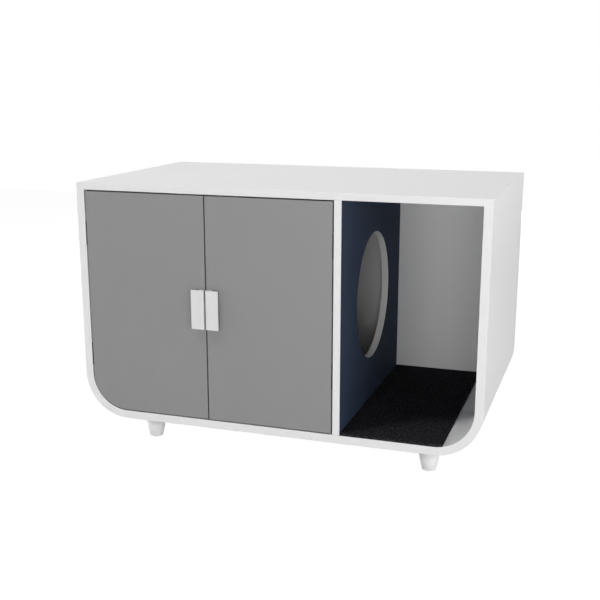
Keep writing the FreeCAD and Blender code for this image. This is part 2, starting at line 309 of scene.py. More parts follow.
@dataclass(frozen=True)
class Lacquer(Finish):
    """Sprayed satin lacquer: a trace of orange peel, faint clouds, and a gloss dulled in places by hands."""

    clouds: float = 0.012
    cloud_scale: float = 5.0
    smear: float = 0.05
    smear_scale: float = 14.0
    peel_scale: float = 650.0
    fine_peel_scale: float = 1900.0
    peel_depth: float = 0.000006

    def paint(self, shader: Shader) -> None:
        """Builds the looks.

        Args:
            shader: The material to build them in.
        """
        cloud = shader.noise(self.cloud_scale, 3.0)
        smears = shader.noise(self.smear_scale, 4.0, (1.0, 1.0, 0.4)).spread(0.45, 0.75)
        peel = shader.noise(self.peel_scale, 1.0) + 0.3 * shader.noise(self.fine_peel_scale)
        shader.set(
            Base_Color=self.shades(shader, 1 - self.clouds, 1 + self.clouds, cloud),
            Roughness=self.roughness + self.smear * smears,
        )
        shader.relief(peel, self.peel_depth)


@dataclass(frozen=True)
class Laminate(Finish):
    """Matt coloured laminate with the fine emboss of its press plate."""

    cloud_scale: float = 9.0
    emboss_scale: float = 1400.0
    emboss_cells: float = 900.0
    emboss_depth: float = 0.00002
    gloss: float = 0.06

    def paint(self, shader: Shader) -> None:
        """Builds the looks.

        Args:
            shader: The material to build them in.
        """
        cloud = shader.noise(self.cloud_scale, 3.0)
        emboss = shader.noise(self.emboss_scale) + 0.5 * shader.cells(self.emboss_cells)
        shader.set(
            Base_Color=self.shades(shader, 0.94, 1.07, cloud),
            Roughness=self.roughness + 0.06 * shader.noise(30.0, 4.0),
            Specular_IOR_Level=self.gloss,
        )
        shader.relief(emboss, self.emboss_depth)


@dataclass(frozen=True)
class Felt(Finish):
    """Needle felt: tangled fibres, small tufts, and a dusty sheen."""

    lint: Color = (0.10, 0.098, 0.108)
    fibre_scale: float = 900.0
    tuft_scale: float = 240.0
    speck_scale: float = 420.0
    pile: float = 0.0007

    def paint(self, shader: Shader) -> None:
        """Builds the looks.

        Args:
            shader: The material to build them in.
        """
        fibre = shader.noise(self.fibre_scale, 5.0, (1.0, 0.35, 1.0))
        across = shader.noise(self.fibre_scale, 5.0, (0.35, 1.0, 1.0))
        tuft = shader.noise(self.tuft_scale, 3.0)
        speck = (shader.noise(self.speck_scale) > 0.66) * 0.6
        shade = (0.5 * fibre + 0.5 * across).spread(0.35, 0.68)
        dust = 0.9 * shade * tuft.spread(0.46, 0.7) + speck * fibre
        shader.set(
            Base_Color=shader.blend(self.color, self.lint, dust),
            Roughness=self.roughness,
            Sheen_Weight=0.02,
            Sheen_Roughness=0.5,
            Sheen_Tint=(0.6, 0.62, 0.7, 1.0),
            Specular_IOR_Level=0.0,
        )
        shader.relief(0.6 * (fibre + across) + 0.5 * tuft, self.pile)


@dataclass(frozen=True)
class PowderCoat(Finish):
    """Fine textured powder coat on metal."""

    tones: tuple[float, float] = (0.985, 1.01)
    cloud_scale: float = 40.0
    grain_scale: float = 1500.0
    grain_dullness: float = 0.05
    grain_depth: float = 0.000018

    def paint(self, shader: Shader) -> None:
        """Builds the looks.

        Args:
            shader: The material to build them in.
        """
        grain = shader.noise(self.grain_scale)
        shader.set(
            Base_Color=self.shades(shader, *self.tones, shader.noise(self.cloud_scale, 3.0)),
            Roughness=self.roughness + self.grain_dullness * grain,
        )
        shader.relief(grain, self.grain_depth)


@dataclass(frozen=True)
class Plastic(PowderCoat):
    """Moulded plastic, whose spark texture is like a finer powder coat."""

    tones: tuple[float, float] = (0.97, 1.0)
    cloud_scale: float = 60.0
    grain_scale: float = 1800.0
    grain_dullness: float = 0.08
    grain_depth: float = 0.000015


@dataclass(frozen=True)
class Metal(Finish):
    """Plated metal, drawn along one axis, with a little staining."""

    drawn: Point = (1.0, 1.0, 0.05)
    line_scale: float = 2600.0
    line_depth: float = 0.000006
    stain: float = 0.2
    stain_scale: float = 120.0

    def paint(self, shader: Shader) -> None:
        """Builds the looks.

        Args:
            shader: The material to build them in.
        """
        lines = shader.noise(self.line_scale, 2.0, self.drawn)
        cloud = shader.noise(self.stain_scale, 4.0)
        shader.set(
            Base_Color=self.shades(shader, 1 - self.stain, 1.0, cloud.spread(0.3, 0.6)),
            Metallic=1.0,
            Roughness=self.roughness + 0.15 * lines + 0.08 * cloud,
        )
        shader.relief(lines, self.line_depth)


@dataclass(frozen=True)
class Board(Finish):
    """Paper-faced thin board: faint fibres under a matt coat."""

    fibre_scale: float = 420.0
    fibre_depth: float = 0.00003
    cloud_scale: float = 6.0
    gloss: float = 0.35

    def paint(self, shader: Shader) -> None:
        """Builds the looks.

        Args:
            shader: The material to build them in.
        """
        fibre = shader.noise(self.fibre_scale, 5.0, (1.0, 1.0, 0.25))
        cloud = shader.noise(self.cloud_scale, 4.0)
        shader.set(
            Base_Color=self.shades(shader, 0.975, 1.01, 0.5 * fibre + 0.5 * cloud),
            Roughness=self.roughness + 0.06 * cloud,
            Specular_IOR_Level=self.gloss,
        )
        shader.relief(fibre, self.fibre_depth)


@dataclass(frozen=True)
class Timber(Finish):
    """Bare birch plywood, its grain along the tongue."""

    dark: Color = (0.42, 0.29, 0.17)
    grain_scale: float = 260.0
    grain_depth: float = 0.00008

    def paint(self, shader: Shader) -> None:
        """Builds the looks.

        Args:
            shader: The material to build them in.
        """
        grain = shader.noise(self.grain_scale, 5.0, (1.0, 0.04, 1.0)).spread(0.3, 0.7)
        shader.set(Base_Color=shader.blend(self.dark, self.color, grain), Roughness=self.roughness)
        shader.relief(grain, self.grain_depth)


WHITE_LACQUER = Lacquer("white_lacquer", (0.86, 0.86, 0.86), 0.42)
LEG_LACQUER = Lacquer("leg_lacquer", (0.89, 0.89, 0.89), 0.4)
GREY_LACQUER = Lacquer("grey_lacquer", (0.276, 0.276, 0.276), 0.45, clouds=0.02)
BLUE_LAMINATE = Laminate("blue_laminate", (0.036, 0.050, 0.087), 0.6)
BACK_FACE = Board("back_board", (0.86, 0.86, 0.86), 0.6)
BLACK_FELT = Felt("black_felt", (0.0135, 0.0133, 0.0155), 0.95)
WHITE_METAL = PowderCoat("white_metal", (0.79, 0.79, 0.79), 0.45)
BIRCH = Timber("birch_ply", (0.62, 0.48, 0.32), 0.7)
NYLON = Plastic("glide_nylon", (0.55, 0.54, 0.52), 0.5)
CATCH_PLASTIC = Plastic("catch_plastic", (0.78, 0.78, 0.77), 0.45)
MAGNET = Metal("magnet", (0.12, 0.12, 0.13), 0.5)
BRASS = Metal("brass", (0.72, 0.55, 0.28), 0.3)
NICKEL = Metal("nickel_steel", (0.62, 0.61, 0.59), 0.28)
ZINC = Metal("screw_steel", (0.6, 0.6, 0.6), 0.3, drawn=(1.0, 1.0, 1.0))
DARK_STEEL = Metal("dark_steel", (0.045, 0.045, 0.05), 0.42)


# ---- Mesh work ----


class Workpiece:
    """One mesh on the bench, shaped with the edit-mode operators."""

    def __init__(self, name: str) -> None:
        """Takes the primitive that was just added, and puts its place into its mesh.

        Args:
            name: The piece's name.
        """
        bpy.ops.object.transform_apply(location=True, rotation=True, scale=True)
        self.obj = bpy.context.object
        self.rename(name)

    def rename(self, name: str) -> None:
        """Names the object and its mesh."""
        self.obj.name = self.obj.data.name = name

    @classmethod
    def block(cls, name: str, low: Iterable[float], high: Iterable[float]) -> "Workpiece":
        """A squared block.

        Args:
            name: The piece's name.
            low: Its lowest corner.
            high: Its highest corner.

        Returns:
            The new piece.
        """
        low, high = Vector(low), Vector(high)
        bpy.ops.object.select_all(action="DESELECT")
        bpy.ops.mesh.primitive_cube_add(size=1, location=(low + high) / 2, scale=high - low)
        return cls(name)

    @classmethod
    def sheet(
        cls, name: str, size: tuple[float, float], centre: Iterable[float], turn: Point = (0, 0, 0)
    ) -> "Workpiece":
        """A sheet without thickness, level unless it is turned.

        Args:
            name: The piece's name.
            size: Its width and its length.
            centre: Its middle.
            turn: Euler angles of the turn about the middle.

        Returns:
            The new piece.
        """
        bpy.ops.object.select_all(action="DESELECT")
        bpy.ops.mesh.primitive_plane_add(size=1, location=centre, rotation=turn)
        bpy.context.object.scale = (*size, 1)
        return cls(name)

    @classmethod
    def round_bar(
        cls, name: str, radius: float, foot: Iterable[float], length: float, sides: int = 48,
        top: float | None = None, turn: Point = (0, 0, 0),
    ) -> "Workpiece":
        """A round bar, which stands on its foot unless it is turned.

        Args:
            name: The piece's name.
            radius: Its radius.
            foot: The middle of its foot, before the turn.
            length: Its length.
            sides: How many sides stand for the round.
            top: Its radius at the top, where that is another one.
            turn: Euler angles of the turn about the middle of its length.

        Returns:
            The new piece.
        """
        bpy.ops.object.select_all(action="DESELECT")
        bpy.ops.mesh.primitive_cone_add(
            vertices=sides, radius1=radius, radius2=radius if top is None else top, depth=length,
            location=Vector(foot) + Vector((0, 0, length / 2)), rotation=turn,
        )
        return cls(name)

    def hold(self) -> None:
        """Makes this the one selected and active object."""
        bpy.ops.object.select_all(action="DESELECT")
        self.obj.select_set(True)
        bpy.context.view_layer.objects.active = self.obj

    @contextmanager
    def _editing(self, element: Element) -> Iterator[bmesh.types.BMesh]:
        """Edit mode on this piece, with nothing selected.

        Args:
            element: What will be selected.

        Yields:
            The mesh in edit mode.
        """
        self.hold()
        bpy.ops.object.mode_set(mode="EDIT")
        bpy.ops.mesh.select_mode(type=element.value)
        bpy.ops.mesh.select_all(action="DESELECT")
        yield bmesh.from_edit_mesh(self.obj.data)
        bpy.ops.object.mode_set(mode="OBJECT")

    def shape(self, element: Element, chosen: Callable[..., bool], *steps: Step) -> "Workpiece":
        """Selects by place, and runs operators on what is selected.

        Args:
            element: What to select.
            chosen: Tells what belongs to the selection: it gets a vertex's place, the places of an edge's two
                ends, or a face's middle and normal.
            steps: Calls of operators, in order.

        Returns:
            This piece.
        """
        with self._editing(element) as mesh:
            if element is Element.VERTEX:
                found = [v for v in mesh.verts if chosen(v.co)]
            elif element is Element.EDGE:
                found = [e for e in mesh.edges if chosen(e.verts[0].co, e.verts[1].co)]
            else:
                found = [f for f in mesh.faces if chosen(f.calc_center_bounds(), f.normal)]
            for item in found:
                item.select_set(True)
            mesh.select_flush_mode()
            bmesh.update_edit_mesh(self.obj.data)
            for step in steps:
                step()
        return self

    def rounded(self, chosen: Callable[..., bool], radius: float, segments: int) -> "Workpiece":
        """Rounds some of the edges.

        Args:
            chosen: Tells from an edge's two ends whether it is one of them.
            radius: The radius of the rounding.
            segments: The strips across it.

        Returns:
            This piece.
        """
        return self.shape(Element.EDGE, chosen, lambda: bpy.ops.mesh.bevel(
            offset=radius, segments=segments, affect="EDGES", clamp_overlap=False
        ))

    def modify(self, kind: str, **settings: Any) -> "Workpiece":
        """Adds a modifier and applies it.

        Args:
            kind: The modifier's type.
            settings: Its settings.

        Returns:
            This piece.
        """
        modifier = self.obj.modifiers.new(kind, kind)
        for name, value in settings.items():
            setattr(modifier, name, value)
        self.hold()
        bpy.ops.object.modifier_apply(modifier=modifier.name)
        return self

    def soften(self, radius: float, segments: int = 3, angle: float = 30.0) -> "Workpiece":
        """Rounds every arris sharper than an angle in degrees, and keeps the flats flat in the light."""
        turn = {"limit_method": "ANGLE", "angle_limit": math.radians(angle)}
        return self.modify("BEVEL", width=radius, segments=segments, **turn).smooth()

    def smooth(self) -> "Workpiece":
        """Shades the piece smoothly, with its larger faces leading.

        Returns:
            This piece.
        """
        self.hold()
        bpy.ops.object.shade_smooth()
        return self.modify("WEIGHTED_NORMAL", keep_sharp=True, weight=80)

    def _combined(self, how: Volume, other: "Workpiece") -> "Workpiece":
        """Combines another piece's volume with this one, and uses that piece up.

        Args:
            how: How they are combined.
            other: The other piece.

        Returns:
            This piece.
        """
        self.modify("BOOLEAN", operation=how.value, object=other.obj, solver="EXACT")
        other.discard()
        return self

    def cut(self, cutter: "Workpiece") -> "Workpiece":
        """Takes another piece's volume out of this one, and uses that piece up."""
        return self._combined(Volume.CUT, cutter)

    def united(self, other: "Workpiece") -> "Workpiece":
        """Adds another piece's volume to this one, and uses that piece up."""
        return self._combined(Volume.UNITED, other)

    def copied(self, name: str, move: Matrix) -> "Workpiece":
        """Copies the piece with its mesh.

        Args:
            name: The copy's name.
            move: What brings the copy to its place.

        Returns:
            The copy.
        """
        self.hold()
        bpy.ops.object.duplicate(linked=False)
        bpy.context.object.matrix_world = move
        return Workpiece(name)

    def repeated(self, name: str, moves: Iterable[Matrix]) -> "Workpiece":
        """Joins copies of this piece into one, and uses this one up.

        Args:
            name: The joined piece's name.
            moves: What brings each copy to its place.

        Returns:
            The joined piece.
        """
        first, *others = [self.copied(name, move) for move in moves]
        self.discard()
        if others:
            first.hold()
            for other in others:
                other.obj.select_set(True)
            bpy.ops.object.join()
        first.rename(name)
        return first

    def discard(self) -> None:
        """Takes the piece off the bench."""
        bpy.data.objects.remove(self.obj)

    def dress(self, finish: Finish, body: Body, *nodes: str) -> bpy.types.Object:
        """Paints the piece, sets it on its body, and lets it stand for its CAD nodes.

        Args:
            finish: The piece's finish.
            body: The body that it rides on.
            nodes: The CAD nodes that it stands for.

        Returns:
            The piece's object.
        """
        self.obj.data.materials.clear()
        self.obj.data.materials.append(finish.material())
        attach(self.obj, body.value)
        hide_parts(*nodes)
        log.info("%s: %s on %s, for %s", self.obj.name, finish.slot, body.value, ", ".join(nodes))
        return self.obj


def near(value: float, target: float, reach: float = 0.0002) -> bool:
    """Whether two lengths are the same, within a hair."""
    return abs(value - target) < reach


def edges(along: Axis | None = None, **levels: float) -> Callable[[Vector, Vector], bool]:
    """Makes a test that picks edges by their place.

    Args:
        along: The axis that they run along, where only such edges are meant.
        levels: Where both their ends are, on any of the axes x, y and z.

    Returns:
        The test of an edge's two ends.
    """
    shared = [axis.value for axis in Axis if along and axis is not along]

    def chosen(one: Vector, other: Vector) -> bool:
        """Tells whether an edge is one of them.

        Args:
            one: The place of one of its ends.
            other: The place of the other.

        Returns:
            Whether it is.
        """
        return all(
            near(getattr(end, axis), level) for axis, level in levels.items() for end in (one, other)
        ) and all(near(getattr(one, axis), getattr(other, axis)) for axis in shared)

    return chosen


def extrude(x: float = 0.0, y: float = 0.0, z: float = 0.0) -> Step:
    """A step that draws the selection out."""
    return lambda: bpy.ops.mesh.extrude_region_move(TRANSFORM_OT_translate={"value": (x, y, z)})


def inset(thickness: float) -> Step:
    """A step that sets the outline of the selected faces in."""
    return lambda: bpy.ops.mesh.inset(thickness=thickness, use_even_offset=True)


def taper(factor: float) -> Step:
    """A step that narrows the selection across Z."""
    return lambda: bpy.ops.transform.resize(value=(factor, factor, 1))


def underside(middle: Vector, normal: Vector) -> bool:
    """Whether a face looks down."""
    return normal.z < -FACING


def aimed(place: Iterable[float], way: Iterable[float]) -> Matrix:
    """The move that brings a piece made about Z to a place, with its Z along a way."""
    turn = Vector(way).to_track_quat("Z", "Y").to_matrix().to_4x4()
    return Matrix.Translation(Vector(place)) @ turn


def centre(node: str) -> Vector:
    """The middle of a CAD node's box."""
    low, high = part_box(node)
    return (low + high) / 2


# ---- Carcass ----


@dataclass
class CabinetShell:
    """Top, sides and bottom: one lacquered body with two rounded lower corners, rebated for its back."""

    corner_radius: float = 0.100
    board: float = 0.018
    top_board: float = 0.015
    rabbet_width: float = 0.008
    rabbet_depth: float = 0.004
    arris: float = 0.0011
    corner_steps: int = 32
    middle_reach: float = 0.05
    nodes: tuple[str, ...] = ("top_panel", "left_side_panel", "right_side_panel", "bottom_panel")

    def build(self) -> Workpiece:
        """Models the shell from one block.

        Returns:
            The shell.
        """
        boxes = [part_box(node) for node in self.nodes]
        low = Vector(map(min, *(box[0] for box in boxes)))
        high = Vector(map(max, *(box[1] for box in boxes)))
        shell = Workpiece.block("cabinet_shell", low, high)
        shell.rounded(edges(Axis.Y, z=low.z), self.corner_radius, self.corner_steps)
        # front: the frame round the openings
        self._frame(shell, low.y, self.board, high.z)
        # back: a narrow frame, the rebate, and its shoulder
        self._frame(shell, high.y, self.board - self.rabbet_width, high.z)
        shell.shape(
            Element.FACE,
            lambda middle, normal: normal.y > FACING and self._inside(middle, low, high),
            extrude(y=-self.rabbet_depth),
            inset(self.rabbet_width),
        )
        shell.shape(
            Element.FACE,
            lambda middle, normal: abs(normal.y) > FACING and self._inside(middle, low, high),
            lambda: bpy.ops.mesh.delete(type="FACE"),
            lambda: bpy.ops.mesh.select_mode(type="EDGE"),
            lambda: bpy.ops.mesh.select_non_manifold(extend=False),
            bpy.ops.mesh.bridge_edge_loops,
        )
        return shell.soften(self.arris)

    def _inside(self, middle: Vector, low: Vector, high: Vector) -> bool:
        """Whether a face is about in the middle of the body's front or back."""
        away = middle - (low + high) / 2
        return abs(away.x) < self.middle_reach and abs(away.z) < self.middle_reach

    def _frame(self, shell: Workpiece, level: float, width: float, top: float) -> None:
        """Sets a frame into the front or the back, thinner along the top.

        Args:
            shell: The shell.
            level: The y of the face.
            width: The width of the frame at the sides and the bottom.
            top: The z of the shell's top.
        """
        shell.shape(
            Element.FACE,
            lambda middle, normal: near(middle.y, level) and abs(normal.y) > FACING,
            inset(width),
        )
        shell.shape(
            Element.VERTEX,
            lambda place: near(place.y, level) and near(place.z, top - width),
            lambda: bpy.ops.transform.translate(value=(0, 0, self.board - self.top_board)),
        )

    def dress(self, shell: Workpiece) -> None:
        """Lacquers the shell."""
        shell.dress(WHITE_LACQUER, Body.CARCASS, *self.nodes)


@dataclass
class Divider:
    """Board between the two bays with its blue lining, and the round cat hole through both."""

    hole_radius: float = 0.146
    hole_setback: float = 0.270
    hole_lift: float = 0.248
    hole_sides: int = 128
    cutter_length: float = 0.2
    arris: float = 0.001
    lining_arris: float = 0.00025

    def _sheet(self, name: str, node: str, arris: float) -> Workpiece:
        """Models a sheet with the cat hole.

        Args:
            name: The sheet's name.
            node: The CAD node that it stands for.
            arris: The radius of its rounded edges.

        Returns:
            The sheet.
        """
        low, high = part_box(node)
        foot = (low.x, low.y + self.hole_setback, low.z + self.hole_lift - self.cutter_length / 2)
        hole = Workpiece.round_bar(
            "hole", self.hole_radius, foot, self.cutter_length, self.hole_sides, turn=(0, math.pi / 2, 0)
        )
        return Workpiece.block(name, low, high).cut(hole).soften(arris)

    def build(self) -> tuple[Workpiece, Workpiece]:
        """Models both sheets.

        Returns:
            The board and its lining.
        """
        board = self._sheet("divider_board", "divider_panel", self.arris)
        lining = self._sheet("divider_blue_lining", "divider_lining", self.lining_arris)
        return board, lining

    def dress(self, board: Workpiece, lining: Workpiece) -> None:
        """Lacquers the board, and faces it with laminate."""
        board.dress(WHITE_LACQUER, Body.CARCASS, "divider_panel")
        lining.dress(BLUE_LAMINATE, Body.CARCASS, "divider_lining")


@dataclass
class FeltMat:
    """Felt mat of the open bay, which starts up the rounded corner."""

    thickness: float = 0.0065
    corner_radius: float = 0.082
    shell_corner: float = 0.100
    climb: float = 0.018
    steps: int = 10
    arris: float = 0.0012
    weld: float = 0.00001

    def _bend(self) -> tuple[float, float]:
        """Finds the bend.

        Returns:
            The x at which the mat starts up the corner, and the angle that it turns through.
        """
        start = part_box("right_side_panel")[1].x - self.shell_corner
        return start, math.asin(self.climb / (self.corner_radius - self.thickness))

    def build(self) -> Workpiece:
        """Models the mat: a flat sheet, spun up the corner, and made thick.

        Returns:
            The mat.
        """
        low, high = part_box("floor_mat")
        bend_x, slope = self._bend()
        mat = Workpiece.sheet(
            "felt_floor_mat", (bend_x - low.x, high.y - low.y),
            ((low.x + bend_x) / 2, (low.y + high.y) / 2, low.z),
        )
        mat.shape(Element.EDGE, edges(x=bend_x), lambda: bpy.ops.mesh.spin(
            steps=self.steps, angle=slope, axis=(0, 1, 0), center=(bend_x, 0, low.z + self.corner_radius)
        ))
        mat.shape(
            Element.FACE,
            lambda middle, normal: True,
            lambda: bpy.ops.mesh.remove_doubles(threshold=self.weld),
            lambda: bpy.ops.mesh.normals_make_consistent(inside=False),
        )
        upward = 1 if sum(face.normal.z for face in mat.obj.data.polygons) > 0 else -1
        mat.modify("SOLIDIFY", thickness=self.thickness, offset=upward, use_even_offset=True)
        return mat.soften(self.arris)

    def dress(self, mat: Workpiece) -> None:
        """Makes it felt, laid on the bottom.

        Args:
            mat: The mat.
        """
        felt = mat.dress(BLACK_FELT, Body.CARCASS, "floor_mat")


@dataclass
class BackPanel:
    """Thin back board in its rebate, with the dents of the staples that hold it."""

    corner_radius: float = 0.0895
    corner_steps: int = 24
    arris: float = 0.0004
    dent: tuple[float, float, float] = (0.0116, 0.0009, 0.0022)

    def build(self) -> Workpiece:
        """Models the board.

        Returns:
            The board.
        """
        low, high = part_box("back_panel")
        board = Workpiece.block("back_board", low, high)
        board.rounded(edges(Axis.Y, z=low.z), self.corner_radius, self.corner_steps)
        length, depth, width = self.dent
        for x, z, along_x in Staples().places():
            half = Vector((length / 2, depth, width / 2) if along_x else (width / 2, depth, length / 2))
            middle = Vector((x, high.y, z))
            board.cut(Workpiece.block("dent", middle - half, middle + half))
        return board.soften(self.arris, segments=2)

    def dress(self, board: Workpiece) -> None:
        """Faces the board with white paper."""
        board.dress(BACK_FACE, Body.CARCASS, "back_panel")


@dataclass
class Staples:
    """Wire staples round the rim of the back board, driven a little below its face."""

    crown: float = 0.010
    wire: float = 0.001
    leg: float = 0.013
    sunk: float = 0.0003
    end_margin: float = 0.090
    shell_corner: float = 0.100
    rim: float = 0.004
    row: int = 3
    arris: float = 0.00025

    def places(self) -> list[tuple[float, float, bool]]:
        """Finds where the staples are.

        Returns:
            For each staple its x, its z, and whether its crown lies along x.
        """
        board_low, board_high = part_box("back_panel")
        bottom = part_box("bottom_panel")[0].z
        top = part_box("top_panel")[1].z
        left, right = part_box("left_side_panel")[0].x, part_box("right_side_panel")[1].x
        inset_ends = self.end_margin + self.shell_corner
        heights = self._spread(bottom + inset_ends, top - self.end_margin)
        columns = self._spread(left + inset_ends, right - inset_ends)
        sides = [(x, z, False) for z in heights for x in (board_low.x + self.rim, board_high.x - self.rim)]
        ends = [(x, z, True) for x in columns for z in (board_low.z + self.rim, board_high.z - self.rim)]
        return sides + ends

    def _spread(self, first: float, last: float) -> list[float]:
        """Even places from first to last, one for each staple of a row."""
        return [first + (last - first) * i / (self.row - 1) for i in range(self.row)]

    def build(self) -> Workpiece:
        """Models all staples from one pattern.

        Returns:
            The staples as one piece.
        """
        half, wire = self.crown / 2, self.wire / 2
        pattern = Workpiece.block("staple_pattern", (-half, -wire, -self.wire), (half, wire, 0))
        for low_x in (-half, half - self.wire):
            pattern.united(Workpiece.block(
                "staple_leg", (low_x, -wire, self.sunk - self.leg), (low_x + self.wire, wire, 0)
            ))
        pattern.soften(self.arris, segments=2)
        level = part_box("back_panel")[1].y - self.sunk
        return pattern.repeated("back_staples", [
            aimed((x, level, z), (0, 1, 0)) @ Matrix.Rotation(0 if along_x else math.pi / 2, 4, "Z")
            for x, z, along_x in self.places()
        ])

    def dress(self, staples: Workpiece) -> None:
        """Makes them zinc-plated wire."""
        staples.dress(ZINC, Body.CARCASS, "back_panel_staples")


# ---- Screws ----


@dataclass(frozen=True)
class Screw:
    """Screw with a cross recess. Its head's widest face is at z = head_level, and its point is below."""

    head_radius: float
    neck_radius: float
    shank_radius: float
    head_height: float
    head_level: float
    length: float
    sides: int = 32
    tip_width: float = 0.5
    recess_width: float = 0.0008
    recess_span: float = 1.15
    recess_depth: float = 0.6
    recess_taper: float = 0.6
    arris: float = 0.00018

    def pattern(self) -> Workpiece:
        """Models one screw.

        Returns:
            The screw, about Z.
        """
        neck = self.head_level - self.head_height
        screw = Workpiece.round_bar(
            "screw_pattern", self.neck_radius, (0, 0, neck), self.head_height, self.sides, self.head_radius
        )
        point = self.shank_radius
        shoulder = self.neck_radius - self.shank_radius
        steps = [inset(shoulder)] if shoulder > 0 else []
        steps += [extrude(z=-self.length - neck + point), extrude(z=-point), taper(self.tip_width)]
        screw.shape(Element.FACE, underside, *steps)
        reach, half = self.head_radius * self.recess_span / 2, self.recess_width / 2
        depth = self.recess_depth * self.head_height
        for x, y in ((reach, half), (half, reach)):
            slot = Workpiece.block("recess", (-x, -y, self.head_level - depth), (x, y, self.head_level + depth))
            screw.cut(slot.shape(Element.FACE, underside, taper(self.recess_taper)))
        return screw.soften(self.arris, segments=2, angle=40.0)

    def drive(self, name: str, places: Iterable[Matrix]) -> Workpiece:
        """Drives a screw in at every place: one piece of them all, under a name."""
        return self.pattern().repeated(name, places)


def wood_screw(length: float) -> Screw:
    """Sizes a countersunk wood screw.

    Args:
        length: From the top of its head to its point.

    Returns:
        The screw.
    """
    return Screw(
        head_radius=0.0035, neck_radius=0.00175, shank_radius=0.00175, head_height=0.002, head_level=0.0,
        length=length,
    )


def countersink(place: Matrix) -> Workpiece:
    """Makes a cutter for a wood screw's head, a hair wider than the head.

    Args:
        place: The move that brings a screw there.

    Returns:
        The cutter.
    """
    cone = Workpiece.round_bar(
        "countersink", radius=0.0017, foot=(0, 0, -0.002), length=0.0021, sides=32, top=0.0037
    )
    return cone.repeated("countersink", [place])


# ---- Doors ----


@dataclass
class Fitting:
    """Something that belongs to one of the two doors."""

    side: Side

    def named(self, part: str) -> str:
        """What a piece or a CAD node of this side is called."""
        return f"{self.side.word}_{part}"


@dataclass
class Door(Fitting):
    """An inset door, its edges eased, with a rounded lower corner on the left one."""

    corner_radius: float = 0.079
    arris: float = 0.0005
    corner_steps: int = 28

    def build(self) -> Workpiece:
        """Models the door.

        Returns:
            The door's board.
        """
        low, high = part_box(self.named("door"))
        door = Workpiece.block(self.named("door_board"), low, high)
        if self.side is Side.LEFT:
            door.rounded(edges(x=low.x, z=low.z), self.corner_radius, self.corner_steps)
        return door.soften(self.arris)

    def dress(self, door: Workpiece) -> None:
        """Lacquers the door."""
        door.dress(GREY_LACQUER, self.side.body, self.named("door"))


@dataclass
class Pull(Fitting):
    """Folded sheet pull: a base on the door, a web along the parting, and a plate that covers the base."""

    sheet: float = 0.002
    base_width: float = 0.013
    fold: float = 0.0014
    fold_steps: int = 6
    arris: float = 0.0004

    def build(self) -> Workpiece:
        """Models the pull: a strip folded twice, and made thick.

        Returns:
            The pull.
        """
        low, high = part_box(self.named("handle"))
        away = -self.side.value
        edge, tip = (high.x, low.x) if self.side is Side.LEFT else (low.x, high.x)
        half = self.sheet / 2
        web = edge + away * half
        pull = Workpiece.sheet(
            self.named("pull"), (self.base_width - half, high.z - low.z),
            (edge + away * (self.base_width + half) / 2, high.y - half, (low.z + high.z) / 2),
            (math.pi / 2, 0, 0),
        )
        pull.shape(Element.EDGE, edges(x=web), extrude(y=low.y - high.y + self.sheet), extrude(x=tip - web))
        pull.rounded(edges(Axis.Z, x=web), self.fold, self.fold_steps)
        pull.modify("SOLIDIFY", thickness=self.sheet, offset=0, use_even_offset=True)
        return pull.soften(self.arris, segments=2, angle=50.0)

    def dress(self, pull: Workpiece) -> None:
        """Powder coats the pull."""
        pull.dress(WHITE_METAL, self.side.body, self.named("handle"))


@dataclass
class PullScrews(Fitting):
    """Machine screws from behind a door into its pull."""

    spread: float = 0.056
    screw: Screw = Screw(
        head_radius=0.004, neck_radius=0.004, shank_radius=0.002, head_height=0.0022, head_level=0.0022,
        length=0.020,
    )

    def build(self) -> Workpiece:
        """Models the two screws of a pull.

        Returns:
            The screws as one piece.
        """
        middle = centre(self.named("handle_screws"))
        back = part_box(self.named("door"))[1].y
        return self.screw.drive(self.named("pull_screws"), [
            aimed((middle.x, back, middle.z + z), (0, 1, 0)) for z in (-self.spread / 2, self.spread / 2)
        ])

    def dress(self, screws: Workpiece) -> None:
        """Plates them."""
        screws.dress(ZINC, self.side.body, self.named("handle_screws"))


